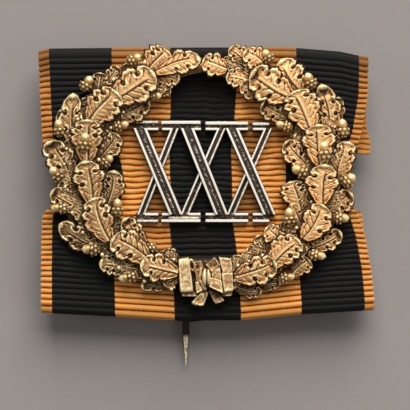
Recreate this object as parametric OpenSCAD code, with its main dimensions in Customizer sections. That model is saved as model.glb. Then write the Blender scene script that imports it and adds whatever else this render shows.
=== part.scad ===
// Military service badge: a gilt wreath of oak leaves and acorns with silver numerals,
// on a striped ribbon that is folded over to the back, with a pin behind.
// It lies on its back, with its front up, the width along X and the height along Y.

/* [Wreath] */
// Width of the wreath over its leaves
wreath_w = 34; // [32:0.5:36]
// Thickness of the cast ring that carries the leaves
ring_t = 0.5; // [0.4:0.1:0.8]
// Height of an acorn's nut, as a share of the acorn's height
nut_rise = 0.86; // [0.7:0.02:0.95]

/* [Ribbon] */
// Thickness of the ribbon over its ribs
ribbon_t = 1; // [1:0.05:1.1]
// Distance from one rib to the next
rib_pitch = 0.62; // [0.5:0.01:0.8]
// Depth of the grooves between the ribs
rib_depth = 0.12; // [0.05:0.01:0.15]
// Gap between the front and the back layer
layer_gap = 0.3; // [0.2:0.05:0.4]
// Height of the ribbon's back layer above the surface
ribbon_z = 2.55; // [2.5:0.05:2.7]

/* [Numerals] */
// Height of the numerals above the ribbon
numeral_h = 1.3; // [1:0.1:1.5]
// Depth of the groove between the rails
groove_d = 0.5; // [0.3:0.1:0.7]

/* [Pin] */
// Radius of the pin's free end, below the ribbon
pin_r = 0.4; // [0.35:0.05:0.4]
// Radius of the pin behind the ribbon
pin_root_r = 0.45; // [0.45:0.05:0.5]
// Radius of the hinge barrel and of the catch
barrel_r = 0.9; // [0.8:0.05:1]
// Length of the hinge barrel
barrel_l = 12; // [10:1:14]
// Width of the strip behind the ribbon
strip_w = 2.2; // [2:0.1:2.6]
// Radius of the posts that go through the ribbon
post_r = 0.5; // [0.4:0.05:0.6]

/* [Hidden] */
fit = 0.05;

// The tables below are charts of the front, in units of which the wreath is 312 wide,
// x to the right and y down, as on a drawing
unit = wreath_w / 312;
chart_mid = [206.25, 207.5];
function cx(x) = (x - chart_mid[0]) * unit;
function cy(y) = (chart_mid[1] - y) * unit;
function at(x, y) = [cx(x), cy(y)];

// Heights, from the surface up
back_mid_z = ribbon_z + ribbon_t / 2;
front_mid_z = back_mid_z + ribbon_t + layer_gap;
ribbon_top_z = front_mid_z + ribbon_t / 2;
wreath_z = ribbon_top_z + fit;
bow_z = wreath_z + ring_t + fit;

// Ribbon, front layer: y, left edge, right edge
FRONT_EDGES = [
    [40, 38, 368.5], [50, 38, 368.5], [86, 39.8, 368], [125, 41.8, 362], [147, 43.5, 356.5],
    [160, 52, 351], [185, 55.5, 350], [207, 51, 353], [216, 42.5, 358], [243, 41.5, 365.5],
    [279, 41, 371.5], [311, 41, 374.5], [325, 41, 374.5]
];
// Ribbon, back layers: y, left edge, right edge
BACK_EDGES = [
    [40, 38, 368.5], [52, 38, 369], [66, 38.6, 371.5], [130, 41, 371.5], [155, 42, 371],
    [205, 43, 362], [243, 42.5, 366], [279, 41.5, 371.5], [311, 41, 374.5], [325, 41, 374.5]
];
fold_top = cy(47);
fold_bottom = cy(319);
cut_end_upper = cy(151);
cut_end_lower = cy(214);
fold_r = (front_mid_z - back_mid_z) / 2;
fold_mid_z = (front_mid_z + back_mid_z) / 2;
fold_y_upper = fold_top - fold_r - ribbon_t / 2;
fold_y_lower = fold_bottom + fold_r + ribbon_t / 2;

// Leaves: base x, base y, tip x, tip y, width, height
LEAVES = [
    [178, 272, 141, 263, 24, 2.3], [177, 284, 142, 286, 13, 1.2], [177, 262, 163, 251, 13, 1.3],
    [148, 259, 112, 238, 26, 2.4], [137, 269, 99, 262, 18, 1.6], [146, 248, 125, 218, 18, 1.8],
    [106, 248, 61, 225, 20, 1.5], [110, 241, 95, 198, 24, 2.4], [87, 211, 51, 191, 19, 1.6],
    [93, 202, 86, 160, 26, 2.5], [108, 206, 115, 171, 18, 1.7], [72, 183, 49, 143, 24, 1.7],
    [98, 161, 119, 135, 18, 1.7], [88, 161, 89, 119, 26, 2.5], [71, 151, 62, 108, 14, 1.4],
    [77, 151, 74, 95, 20, 1.8], [90, 124, 118, 94, 28, 2.5], [97, 99, 101, 73, 16, 1.3],
    [103, 89, 119, 66, 14, 1.4], [112, 80, 141, 63, 16, 1.3], [115, 119, 149, 101, 20, 1.6],
    [113, 101, 154, 75, 30, 2.5],
    [147, 74, 169, 52, 25, 1.9], [153, 77, 181, 80, 17, 1.8], [157, 73, 201, 60, 20, 2.3],
    [157, 91, 171, 92, 10, 1.3],
    [234.5, 277, 275, 263, 24, 2.3], [235, 286, 262, 292, 12, 1.2], [240, 271, 238, 254, 12, 1.3],
    [265, 256, 246, 249, 12, 1.3], [256, 285, 280, 283, 12, 1.2], [270, 265, 298, 240, 24, 2.4],
    [293, 273, 310, 260, 17, 1.7], [282, 241, 265, 227, 17, 1.8], [268, 257, 257, 235, 14, 1.3],
    [311, 247, 340, 233, 17, 1.6], [303, 239, 322, 205, 24, 2.4], [299, 210, 289, 181, 22, 1.8],
    [325, 213, 352, 193, 20, 1.6], [320, 204, 324, 165, 27, 2.5], [337, 184, 348, 143, 20, 1.7],
    [309, 168, 285, 142, 18, 1.8], [320, 165, 317, 124, 27, 2.5], [306, 144, 298, 127, 10, 1.3],
    [330, 139, 321, 86, 20, 1.7], [336, 125, 338, 98, 10, 1.3], [310, 130, 293, 92, 28, 2.5],
    [289, 120, 260, 104, 18, 1.7], [305, 96, 280, 60, 27, 1.9], [319, 114, 306, 88, 12, 1.4],
    [291, 99, 252, 74, 30, 2.5], [266, 99, 240, 85, 17, 1.7], [251, 83, 225, 77, 17, 1.7],
    [267, 68, 243, 53, 19, 1.8], [247, 64, 230, 49, 16, 1.5], [227, 71, 203, 62, 20, 2.2],
    [247, 70, 222, 60, 12, 1.3]
];
// Acorns: middle x, middle y, angle that the nut points to, length, width, height
ACORNS = [
    [91, 249, 180, 18, 13, 2.6], [128, 277, 190, 20, 11, 2.2], [150, 249, 215, 15, 11, 2.4],
    [60, 208, 180, 18, 11, 2.2], [118, 207, 88, 18, 12, 2.6], [57, 174, 130, 18, 13, 2.4],
    [60, 128, 95, 18, 12, 2.2], [108, 161, 45, 15, 11, 2.5], [86, 142, 85, 20, 13, 3.3],
    [88, 84, 60, 17, 12, 2.5], [122, 126, 15, 16, 11, 2.4], [101, 127, 45, 10, 8, 2.3],
    [135, 60, 30, 16, 11, 2.3], [156, 96, 350, 13, 9, 2.2],
    [287, 277, 10, 16, 10, 2.2], [317, 255, 350, 18, 11, 2.3], [341, 218, 0, 16, 12, 2.3],
    [289, 216, 95, 18, 13, 2.7], [348, 180, 40, 16, 14, 2.5], [299, 171, 155, 18, 13, 2.6],
    [323, 151, 95, 21, 13, 3.3], [342, 128, 95, 19, 12, 2.3], [283, 126, 165, 17, 10, 2.4],
    [309, 81, 115, 17, 12, 2.5], [267, 57, 120, 15, 11, 2.4]
];
// Blade of a leaf: share of the length, share of the half width, share of the height
BLADE = [
    [0, 0.24, 0.75], [0.18, 0.78, 0.95], [0.3, 0.62, 1], [0.5, 1, 1], [0.64, 0.72, 0.97],
    [0.8, 0.86, 0.92], [1, 0.4, 0.75]
];
// Blade of a small leaf that lies under the others, with the same columns
SMALL_BLADE = [[0, 0.4, 0.75], [0.35, 1, 1], [0.7, 0.85, 0.95], [1, 0.4, 0.75]];
small_height = 1.4;
// Cast pieces start this far under their flat back, where one cut trims them all level
root_depth = 0.5;
// Section of a leaf: share of the half width, share of the height
SECTION = [[1, 0.66], [0.45, 1], [0, 0.88], [-0.45, 1], [-1, 0.66]];

// Strokes of the numerals: x at the top, x at the bottom, width
THICK = [[141.3, 175.5, 11.5], [187, 220.5, 11.5], [232.5, 268.3, 11]];
THIN = [[175.3, 141.8, 7.5], [222.2, 186.5, 7.5], [267.3, 231.9, 7]];
// Bars across the ends of the strokes: left end, right end
BARS = [[138, 158.5], [161.5, 200.5], [205.5, 248], [252.5, 270]];
stroke_top = 130;
stroke_bottom = 213;
bar_upper = [121, 131];
bar_lower = [212, 222];
rail_w = 3;
thin_h = numeral_h - 0.25;

// Bow: corner points of its folds and of the plate that joins them
BOW_LEFT_BAND = [[180, 259], [193, 260.5], [192.3, 276.4], [193.6, 293.6], [181, 295], [179.5, 277]];
BOW_LEFT_LOOP = [
    [191.5, 259.6], [200, 262], [204, 269], [204, 284.5], [199.6, 290], [192.5, 292.4], [189.4, 273.6]
];
BOW_RIGHT_LOOP = [
    [213, 257], [219.5, 259.4], [222.4, 273.6], [223.7, 289.5], [217, 291.3], [208, 284.6], [207, 268]
];
BOW_RIGHT_BAND = [[218, 256.6], [229, 259], [232, 275], [232, 289], [222, 291.8], [220.6, 272.2]];
BOW_LEFT_TAIL = [[202.2, 283], [208.6, 289.5], [206, 296], [199, 305], [191, 303], [194.6, 291]];
BOW_RIGHT_TAIL = [[206.8, 284], [214.6, 286], [223, 294], [223, 302], [214, 303], [209.6, 296.5]];
BOW_BACK = [[185, 263], [226, 264], [227, 285], [205, 289], [184, 287]];
bow_back_t = 0.5;
band_h = 1.5;
loop_h = 1.9;
tail_h = 1.2;
knot_h = 2.4;
knot_mid = [205.5, 276];
knot_size = [10, 21];

// Pin, strip, hinge barrel, catch and posts
pin_x = cx(185.5);
pin_end = cy(368);
pin_taper = 3;
neck_l = 0.8;
taper_y = pin_end + pin_taper;
free_y = fold_bottom;
hinge_y = cy(93);
catch_y = cy(279);
post_upper = cy(66);
post_lower = cy(275);
strip_t = 0.6;
strip_z = 2 * barrel_r + 0.1;
strip_end = 1.1;
post_fit = 0.1;
catch_l = 2;
catch_mouth = 0.5;
catch_fit = 0.1;
web_w = 1.4;
tip_r = 0.06;

// Lengths along the ribbon, from its upper cut end over both folds to the lower one
run_back = fold_y_upper - cut_end_upper;
run_fold = PI * fold_r;
run_front = fold_y_upper - fold_y_lower;
run_lower = cut_end_lower - fold_y_lower;
run_all = run_back + run_front + run_lower + 2 * run_fold;

function turn_point(mid_y, angle, r) = [mid_y + r * cos(angle), fold_mid_z + r * sin(angle)];

// Point at distance s along the middle of the ribbon, set off outwards by h
function run_point(s, h) =
    s < run_back ? [cut_end_upper + s, back_mid_z - h] :
    s < run_back + run_fold ?
        turn_point(fold_y_upper, -90 + 180 * (s - run_back) / run_fold, fold_r + h) :
    s < run_back + run_fold + run_front ?
        [fold_y_upper - (s - run_back - run_fold), front_mid_z + h] :
    s < run_all - run_lower ?
        turn_point(fold_y_lower, 90 + 180 * (s - run_back - run_fold - run_front) / run_fold, fold_r + h) :
        [fold_y_lower + (s - run_all + run_lower), back_mid_z - h];

rib_steps = 2 * floor(run_all / rib_pitch);
outer_points = [
    for (i = [0:rib_steps])
        run_point(run_all * i / rib_steps, ribbon_t / 2 - (i % 2 == 0 ? rib_depth : 0))
];
inner_turn_r = fold_r - ribbon_t / 2;
inner_points = [
    [cut_end_lower, back_mid_z + ribbon_t / 2],
    for (a = [270:-45:90]) turn_point(fold_y_lower, a, inner_turn_r),
    for (a = [90:-45:-90]) turn_point(fold_y_upper, a, inner_turn_r),
    [cut_end_upper, back_mid_z + ribbon_t / 2]
];

// Outline between the left and the right edges of a table
function edge_outline(rows) = concat(
    [for (r = rows) at(r[1], r[0])],
    [for (i = [len(rows) - 1:-1:0]) at(rows[i][2], rows[i][0])]
);

module ribbon() {
    color("darkorange")
        difference() {
            intersection() {
                rotate([90, 0, 90])
                    translate([0, 0, -20])
                        linear_extrude(40)
                            polygon(concat(outer_points, inner_points));
                union() {
                    translate([0, 0, fold_mid_z])
                        linear_extrude(4)
                            polygon(edge_outline(FRONT_EDGES));
                    translate([0, 0, ribbon_z - 1])
                        linear_extrude(fold_mid_z - ribbon_z + 1)
                            polygon(edge_outline(BACK_EDGES));
                }
            }
            for (y = [post_upper, post_lower])
                translate([pin_x, y, ribbon_z - 1])
                    cylinder(h = 6, r = post_r + post_fit, $fn = 32);
        }
}

// One leaf, whose lobed blade is domed and whose sides go down to the back of the wreath
module leaf(from, to, width, height) {
    run = to - from;
    long = norm(run);
    along = run / long;
    across = [-along[1], along[0]];
    ring = len(SECTION) + 2;
    blade = height > small_height ? BLADE : SMALL_BLADE;
    points = [
        for (b = blade)
            let (mid = from + along * (b[0] * long), half = b[1] * width / 2)
            for (q = concat([[1, -root_depth]], SECTION, [[-1, -root_depth]]))
                concat(mid + across * (q[0] * half), [q[1] > 0 ? q[1] * b[2] * height : q[1]])
    ];
    last = (len(blade) - 1) * ring;
    sides = [
        for (i = [0:len(blade) - 2])
            for (k = [0:ring - 1])
                let (a = i * ring + k, b = i * ring + (k + 1) % ring)
                for (t = [[a, b + ring, b], [a, a + ring, b + ring]]) t
    ];
    polyhedron(
        points = points,
        faces = concat(
            [[for (k = [0:ring - 1]) k]],
            sides,
            [[for (k = [ring - 1:-1:0]) last + k]]
        )
    );
}

// One acorn, a nut in its cup, lying on the leaves, its sides going down to the back of the wreath
module acorn(angle, long, width, height) {
    rotate(angle) {
        translate([-long * 0.8, -width * 0.15, -root_depth])
            cube([long * 0.5, width * 0.3, height * 0.6 + root_depth]);
        hull() {
            translate([long * 0.18, 0, height * nut_rise - width * 0.36])
                scale([long * 0.32, width * 0.36, width * 0.36])
                    sphere(1, $fn = 8);
            translate([long * 0.14, 0, -root_depth])
                cube([long * 0.4, width * 0.4, 0.1], center = true);
        }
        hull() {
            translate([-long * 0.2, 0, height - width * 0.5])
                scale([long * 0.3, width * 0.5, width * 0.5])
                    sphere(1, $fn = 8);
            translate([-long * 0.18, 0, -root_depth])
                cube([long * 0.4, width * 0.6, 0.1], center = true);
        }
    }
}

// The cast ring under the leaves, narrow at the top and wide at the sides
ring_mid = at(203, 172);
ring_half = [120 * unit, 104 * unit];
function ring_point(angle, side) =
    let (half_band = (3 + 22 * abs(cos(angle))) * unit)
    ring_mid + [
        (ring_half[0] + side * half_band) * cos(angle),
        (ring_half[1] + side * half_band) * sin(angle)
    ];

module oak_wreath() {
    color("goldenrod")
        translate([0, 0, wreath_z])
            difference() {
                union() {
                    translate([0, 0, -root_depth])
                        linear_extrude(root_depth + ring_t)
                            difference() {
                                polygon([for (a = [0:12:348]) ring_point(a, 1)]);
                                polygon([for (a = [0:12:348]) ring_point(a, -1)]);
                            }
                    for (l = LEAVES)
                        leaf(at(l[0], l[1]), at(l[2], l[3]), l[4] * unit, l[5]);
                    for (n = ACORNS)
                        translate(at(n[0], n[1]))
                            acorn(n[2], n[3] * unit, n[4] * unit, n[5]);
                }
                translate([0, 0, -2])
                    cube([50, 50, 4], center = true);
            }
}

// One fold of the bow: its outline, with a smaller copy of it on top, so that its edges slope
module bow_fold(corners, height) {
    points = [for (c = corners) at(c[0], c[1])];
    middle = [for (k = [0, 1]) sum_of([for (p = points) p[k]]) / len(points)];
    translate([0, 0, -root_depth])
        hull() {
            linear_extrude(root_depth + height * 0.6)
                polygon(points);
            linear_extrude(root_depth + height)
                polygon([for (p = points) middle + (p - middle) * 0.68]);
        }
}

function sum_of(list) = list * [for (v = list) 1];

// One side of the knot, a long bead
module knot_half(side) {
    translate(concat(at(knot_mid[0] + side * knot_size[0] * 0.27, knot_mid[1]), [knot_h / 2]))
        hull()
            scale([knot_size[0] * 0.26 * unit, knot_size[1] / 2 * unit, knot_h / 2])
                sphere(1, $fn = 12);
}

module bow() {
    color("gold")
        translate([0, 0, bow_z])
            difference() {
                union() {
                    for (band = [BOW_LEFT_BAND, BOW_RIGHT_BAND])
                        bow_fold(band, band_h);
                    for (loop = [BOW_LEFT_LOOP, BOW_RIGHT_LOOP])
                        bow_fold(loop, loop_h);
                    for (tail = [BOW_LEFT_TAIL, BOW_RIGHT_TAIL])
                        bow_fold(tail, tail_h);
                    translate([0, 0, -root_depth])
                        linear_extrude(root_depth + bow_back_t)
                            polygon([for (c = BOW_BACK) at(c[0], c[1])]);
                    for (side = [-1, 1])
                        knot_half(side);
                }
                translate([0, 0, -2])
                    cube([50, 50, 4], center = true);
            }
}

// Outline of one slanted stroke, each side drawn in by the inset
module stroke(s, inset = 0) {
    half = s[2] / 2 - inset;
    polygon([
        at(s[0] - half, stroke_top), at(s[0] + half, stroke_top),
        at(s[1] + half, stroke_bottom), at(s[1] - half, stroke_bottom)
    ]);
}

// Outline of one level bar, drawn in all round by the inset
module level_bar(ends, rows, inset = 0) {
    polygon([
        at(ends[0] + inset, rows[0] + inset), at(ends[1] - inset, rows[0] + inset),
        at(ends[1] - inset, rows[1] - inset), at(ends[0] + inset, rows[1] - inset)
    ]);
}

// Strokes with a groove along them, which leaves a rail on each side
module strokes(table, height) {
    for (s = table)
        difference() {
            linear_extrude(height)
                stroke(s);
            translate([0, 0, height - groove_d])
                linear_extrude(groove_d + 1)
                    stroke(s, rail_w);
        }
}

module numerals() {
    color("silver")
        translate([0, 0, wreath_z])
            union() {
                strokes(THICK, numeral_h);
                difference() {
                    strokes(THIN, thin_h);
                    for (s = THICK)
                        translate([0, 0, -1])
                            linear_extrude(4)
                                stroke(s);
                }
                for (rows = [bar_upper, bar_lower])
                    for (b = BARS)
                        difference() {
                            linear_extrude(thin_h)
                                level_bar(b, rows);
                            translate([0, 0, thin_h - groove_d])
                                linear_extrude(groove_d + 1)
                                    level_bar(b, rows, rail_w);
                        }
            }
}

// Everything behind the ribbon, one plain piece: strip, posts, barrel, catch and pin
module back_pin() {
    color("lightgray")
        difference() {
            union() {
                translate([pin_x - strip_w / 2, post_lower - strip_end, strip_z])
                    cube([strip_w, post_upper - post_lower + 2 * strip_end, strip_t]);
                for (y = [post_upper, post_lower])
                    translate([pin_x, y, strip_z])
                        cylinder(h = wreath_z - fit - strip_z, r = post_r, $fn = 32);
                translate([pin_x - barrel_l / 2, hinge_y, barrel_r])
                    rotate([0, 90, 0])
                        cylinder(h = barrel_l, r = barrel_r, $fn = 48);
                translate([pin_x - strip_w / 2, hinge_y - web_w / 2, barrel_r])
                    cube([strip_w, web_w, strip_z + strip_t / 2 - barrel_r]);
                translate([pin_x, catch_y + catch_l / 2, barrel_r])
                    rotate([90, 0, 0])
                        cylinder(h = catch_l, r = barrel_r, $fn = 48);
                translate([pin_x - web_w / 2, catch_y - catch_l / 2, 1.6 * barrel_r])
                    cube([web_w, catch_l, strip_z + strip_t / 2 - 1.6 * barrel_r]);
            }
            translate([pin_x, catch_y + catch_l, barrel_r])
                rotate([90, 0, 0])
                    cylinder(h = 2 * catch_l, r = pin_root_r + catch_fit, $fn = 48);
            translate([pin_x, catch_y - catch_l, barrel_r - catch_mouth / 2])
                cube([2 * barrel_r, 2 * catch_l, catch_mouth]);
        }
    color("lightgray")
        translate([pin_x, hinge_y, barrel_r])
            rotate([90, 0, 0]) {
                cylinder(h = hinge_y - free_y - neck_l, r = pin_root_r, $fn = 48);
                translate([0, 0, hinge_y - free_y - neck_l])
                    cylinder(h = neck_l, r1 = pin_root_r, r2 = pin_r, $fn = 48);
                translate([0, 0, hinge_y - free_y])
                    cylinder(h = free_y - taper_y, r = pin_r, $fn = 48);
                translate([0, 0, hinge_y - taper_y])
                    cylinder(h = pin_taper, r1 = pin_r, r2 = tip_r, $fn = 48);
            }
}

ribbon();
oak_wreath();
bow();
numerals();
back_pin();
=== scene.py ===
from math import cos, hypot, pi, radians, sin

import bpy
import numpy as np
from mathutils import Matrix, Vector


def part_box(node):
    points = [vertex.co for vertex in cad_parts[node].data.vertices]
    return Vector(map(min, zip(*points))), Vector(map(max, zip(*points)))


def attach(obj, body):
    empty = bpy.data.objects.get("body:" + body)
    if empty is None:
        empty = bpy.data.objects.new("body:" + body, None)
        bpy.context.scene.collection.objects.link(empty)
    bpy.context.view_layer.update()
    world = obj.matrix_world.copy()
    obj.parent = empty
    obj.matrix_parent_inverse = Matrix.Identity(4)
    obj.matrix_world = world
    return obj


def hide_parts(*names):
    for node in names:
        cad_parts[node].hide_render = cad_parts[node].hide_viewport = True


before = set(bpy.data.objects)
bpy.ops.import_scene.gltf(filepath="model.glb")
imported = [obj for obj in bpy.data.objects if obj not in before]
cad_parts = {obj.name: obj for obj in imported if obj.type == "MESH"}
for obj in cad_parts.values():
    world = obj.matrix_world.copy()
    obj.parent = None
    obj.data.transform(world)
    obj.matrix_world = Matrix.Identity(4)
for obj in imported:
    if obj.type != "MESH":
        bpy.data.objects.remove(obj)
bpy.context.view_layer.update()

# Ribbon
# One strip of ribbed silk, woven with orange and black stripes. It is folded over to the back at
# the top and at the bottom, and the cut ends lie behind, held between the wreath and the pin's strip.
mm = 0.001
# The front is laid out on a chart, on which the wreath is 312 units wide; the real one is 34 mm wide
unit = 34 * mm / 312
chart_mid = (206.25, 207.5)


def at(x, y):
    """A place on the chart in metres. On the chart, y runs down the front."""
    return (x - chart_mid[0]) * unit, (chart_mid[1] - y) * unit


def only(piece):
    """Selects one object alone and makes it the active one."""
    if bpy.context.object and bpy.context.object.mode != "OBJECT":
        bpy.ops.object.mode_set(mode="OBJECT")
    bpy.ops.object.select_all(action="DESELECT")
    piece.select_set(True)
    bpy.context.view_layer.objects.active = piece


def grid_of(name, cells, size):
    """A flat grid to shape, with its cells along X and Y."""
    bpy.ops.object.select_all(action="DESELECT")
    bpy.ops.mesh.primitive_grid_add(x_subdivisions=cells[0], y_subdivisions=cells[1], size=size)
    bpy.context.object.name = name
    return bpy.context.object


def points_of(piece):
    """The places of a piece's points, one row each."""
    co = np.empty(len(piece.data.vertices) * 3)
    piece.data.vertices.foreach_get("co", co)
    return co.reshape(-1, 3)


def set_points(piece, co):
    """Moves a piece's points to new places."""
    piece.data.vertices.foreach_set("co", np.asarray(co, dtype=np.float32).ravel())
    piece.data.update()


def smoothstep(x, low, high):
    """0 below low, 1 above high, and soft between them."""
    t = np.clip((x - low) / (high - low), 0, 1)
    return t * t * (3 - 2 * t)


def bump(x, middle, width):
    """1 at the middle and falling off softly over the width."""
    return np.exp(-((x - middle) / width) ** 2)


def edit_all(piece):
    """Opens one piece in edit mode with all of it selected."""
    only(piece)
    bpy.ops.object.mode_set(mode="EDIT")
    bpy.ops.mesh.select_all(action="SELECT")


def face_outwards(piece):
    """Turns the faces of a closed piece outwards."""
    edit_all(piece)
    bpy.ops.mesh.normals_make_consistent(inside=False)
    bpy.ops.object.mode_set(mode="OBJECT")


def thickened(piece, wall):
    """Gives a sheet a wall of even thickness below it."""
    only(piece)
    bpy.ops.object.modifier_add(type="SOLIDIFY")
    piece.modifiers["Solidify"].thickness = wall
    piece.modifiers["Solidify"].offset = -1
    bpy.ops.object.modifier_apply(modifier="Solidify")


# The ribs, the thickness of the solid's ribbon and of this one, and the cells of its grid
rib_pitch, rib_depth = 0.62 * mm, 0.2 * mm
ribbon_t, wall_t = 1 * mm, 0.8 * mm
across_cells, cells_a_rib = 60, 6
ribbon_low, ribbon_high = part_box("ribbon")
turn_r = (ribbon_high.z - ribbon_low.z - ribbon_t) / 2
turn_z = (ribbon_high.z + ribbon_low.z) / 2
front_z = turn_z + turn_r
# The folds reach a little past the solid's, as the loose turns of real ribbon do
past_top, past_foot = 0.2 * mm, 0.3 * mm
turn_y = (ribbon_high.y - turn_r - ribbon_t / 2 + past_top,
          ribbon_low.y + turn_r + ribbon_t / 2 - past_foot)
# Heights of the two cut ends, first on the chart and then in metres
upper_cut, lower_cut = 151, 214
cut_y = (at(0, upper_cut)[1], at(0, lower_cut)[1])
# Distances along the ribbon from its upper cut end: to both ends of the upper turn, both ends of
# the lower turn, and the lower cut end
stretches = np.cumsum([turn_y[0] - cut_y[0], pi * turn_r, turn_y[0] - turn_y[1], pi * turn_r,
                       cut_y[1] - turn_y[1]])
ribs = round(stretches[4] / rib_pitch)

# Black stripes, as shares of the width
STRIPES = [(0.032, 0.222), (0.4, 0.6), (0.782, 0.972)]
# Left and right edges of the front layer and of the layers behind it: y, left, right on the chart
FRONT_EDGES = [
    (40, 38, 368.5), (50, 38, 368.5), (86, 39.8, 368), (125, 41.8, 362), (147, 43.5, 356.5),
    (160, 52, 351), (185, 55.5, 350), (207, 51, 353), (216, 42.5, 358), (243, 41.5, 365.5),
    (279, 41, 371.5), (311, 41, 374.5), (325, 41, 374.5),
]
BACK_EDGES = [
    (40, 38, 368.5), (52, 38, 368.5), (112, 39.6, 367.5), (126, 41, 368.5), (138, 41, 372), (155, 42, 371),
    (205, 43, 362), (243, 42.5, 366), (279, 41.5, 371.5), (311, 41, 374.5), (325, 41, 374.5),
]
# How far the upper fold droops and the lower one rises from straight: x, distance on the chart
UPPER_DROOP = [(38, 4.5), (48, 1.6), (110, 1), (200, 0.5), (290, 0.5), (340, 4.5), (360, 8.8), (368.5, 10)]
LOWER_RISE = [
    (41, 7.3), (51, 6.7), (115, 3.4), (172, 0), (190, -2), (204, -0.4), (241, -0.2), (302, 5.8),
    (365, 9.4), (374, 10),
]


def edge_at(table, column, y):
    """An edge's x at a height on the chart, with the corners of the table rounded."""
    rows = np.array(table)
    round_over = 7
    fine_y = np.arange(30, 341)
    fine_x = np.interp(fine_y, rows[:, 0], rows[:, column])
    window = np.hanning(2 * round_over + 1)
    rounded = np.convolve(np.pad(fine_x, round_over, mode="edge"), window / window.sum(), mode="valid")
    return np.interp(y, fine_y, rounded)


def along_ribbon(s, height):
    """Y and Z at distance s along the middle of the ribbon, at a height off its middle."""
    turned = turn_r + height
    up, down = -pi / 2 + (s - stretches[0]) / turn_r, pi / 2 + (s - stretches[2]) / turn_r
    where = [s < stretches[0], s < stretches[1], s < stretches[2], s < stretches[3]]
    y = np.select(where, [cut_y[0] + s, turn_y[0] + turned * np.cos(up), turn_y[0] - (s - stretches[1]),
                          turn_y[1] + turned * np.cos(down)], turn_y[1] + s - stretches[3])
    z = np.select(where, [turn_z - turned, turn_z + turned * np.sin(up), turn_z + turned,
                          turn_z + turned * np.sin(down)], turn_z - turned)
    return y, z


# Where the silk is pulled in under the middle of the wreath: its height on the chart and its reach
waist_y, waist_reach = 178, 26
# By how much the left orange stripe is pinched there, and the last stripe slips behind
pinch, slip = 4.5, 4.5
# The scallops of the ribs along the two edges, and the power that keeps them at the edges
scallop_out, edge_power = 1.2, 31
# The front between the folds, in which the silk waves and ripples, and the height of its waves
wavy_from, wavy_to = (60, 90), (270, 300)
wave_h, ripple_h, crease_h = 0.9, 0.45, 0.6


def ribbon_points(across, along, height):
    """Places on the ribbon at shares across and along it, at a height off its middle."""
    y, z = along_ribbon(along * stretches[4], height)
    chart_y = chart_mid[1] - y / unit
    front = smoothstep(z, turn_z - 0.3 * mm, turn_z + 0.3 * mm)
    left, right = [
        front * edge_at(FRONT_EDGES, k, chart_y) + (1 - front) * edge_at(BACK_EDGES, k, chart_y)
        for k in (1, 2)]
    waist = bump(chart_y, waist_y, waist_reach) * front
    in_stripe = (across - STRIPES[0][1]) / (STRIPES[1][0] - STRIPES[0][1])
    pinched = pinch * np.cos(pi * in_stripe) * bump(across, 0.3, 0.15) * waist
    slipped = slip * bump(across, 0.965, 0.02) * (1 - front)
    rib = np.abs(np.sin(pi * ribs * along))
    scallop = scallop_out * (rib - 0.6) * (2 * across - 1) ** edge_power
    chart_x = left + across * (right - left) + scallop + pinched - slipped
    droop = np.interp(chart_x, *np.array(UPPER_DROOP).T) * smoothstep(200 - chart_y, 0, 140)
    rise = np.interp(chart_x, *np.array(LOWER_RISE).T) * smoothstep(chart_y, 180, 300)
    wave = np.sin(0.033 * chart_x + 0.6) * np.sin(0.027 * chart_y + 2 * np.sin(0.011 * chart_x))
    ripple = np.sin(0.11 * chart_x + 0.05 * chart_y)
    crease = np.sin(0.27 * chart_x + 3 * np.sin(0.31 * chart_y)) * np.sin(0.6 * chart_y)
    between_folds = smoothstep(chart_y, *wavy_from) * (1 - smoothstep(chart_y, *wavy_to))
    lift = rise - droop + (wave_h * wave + ripple_h * ripple + crease_h * crease) * between_folds
    return np.stack([(chart_x - chart_mid[0]) * unit, y + lift * unit, z], axis=1)


ribbon = grid_of("silk_ribbon", (across_cells, ribs * cells_a_rib), 1)
share = points_of(ribbon) + 0.5
crown = np.abs(np.sin(pi * ribs * share[:, 1])) ** 0.8
outer = ribbon_points(share[:, 0], share[:, 1], ribbon_t / 2 - rib_depth * (1 - crown))
inner = ribbon_points(share[:, 0], share[:, 1], ribbon_t / 2 - wall_t)
set_points(ribbon, outer)
thickened(ribbon, wall_t)
set_points(ribbon, np.concatenate([outer, inner]))
face_outwards(ribbon)
bpy.ops.object.shade_smooth_by_angle(angle=radians(50))


class Wire:
    """A node's output. Operators on it add Math nodes to its material."""

    def __init__(self, socket):
        self.socket = socket

    @staticmethod
    def node(tree, kind, settings, inputs, output=None):
        """Adds any node: its settings first, then the values or links of its sockets."""
        made = tree.nodes.new(kind)
        for name, value in settings.items():
            setattr(made, name, value)
        for name, value in inputs.items():
            socket = next(s for s in made.inputs if name in (s.identifier, s.name))
            if isinstance(value, Wire):
                tree.links.new(value.socket, socket)
            else:
                socket.default_value = value
        named = [s for s in made.outputs if output in (s.identifier, s.name)]
        return Wire((named or list(made.outputs))[0])

    def maths(self, operation, *other, clamp=False):
        """A Math node on this value, and on one other where it takes two."""
        values = dict(zip(("Value", "Value_001"), (self, *other)))
        return Wire.node(self.socket.id_data, "ShaderNodeMath",
                         {"operation": operation, "use_clamp": clamp}, values)

    def part(self, axis):
        """One coordinate of a vector."""
        return Wire.node(self.socket.id_data, "ShaderNodeSeparateXYZ", {}, {"Vector": self}, axis)

    def ramp(self, low, high, interpolation="SMOOTHSTEP"):
        """0 below low, 1 above high, and soft between them."""
        return Wire.node(self.socket.id_data, "ShaderNodeMapRange", {"interpolation_type": interpolation},
                         {"Value": self, "From Min": low, "From Max": high})

    def __add__(self, other):
        return self.maths("ADD", other)

    def __sub__(self, other):
        return self.maths("SUBTRACT", other)

    def __mul__(self, other):
        return self.maths("MULTIPLY", other)

    def __pow__(self, other):
        return self.maths("POWER", other)

    def __radd__(self, other):
        return self + other

    def __rmul__(self, other):
        return self * other

    def __rsub__(self, other):
        return (self * -1) + other


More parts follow.
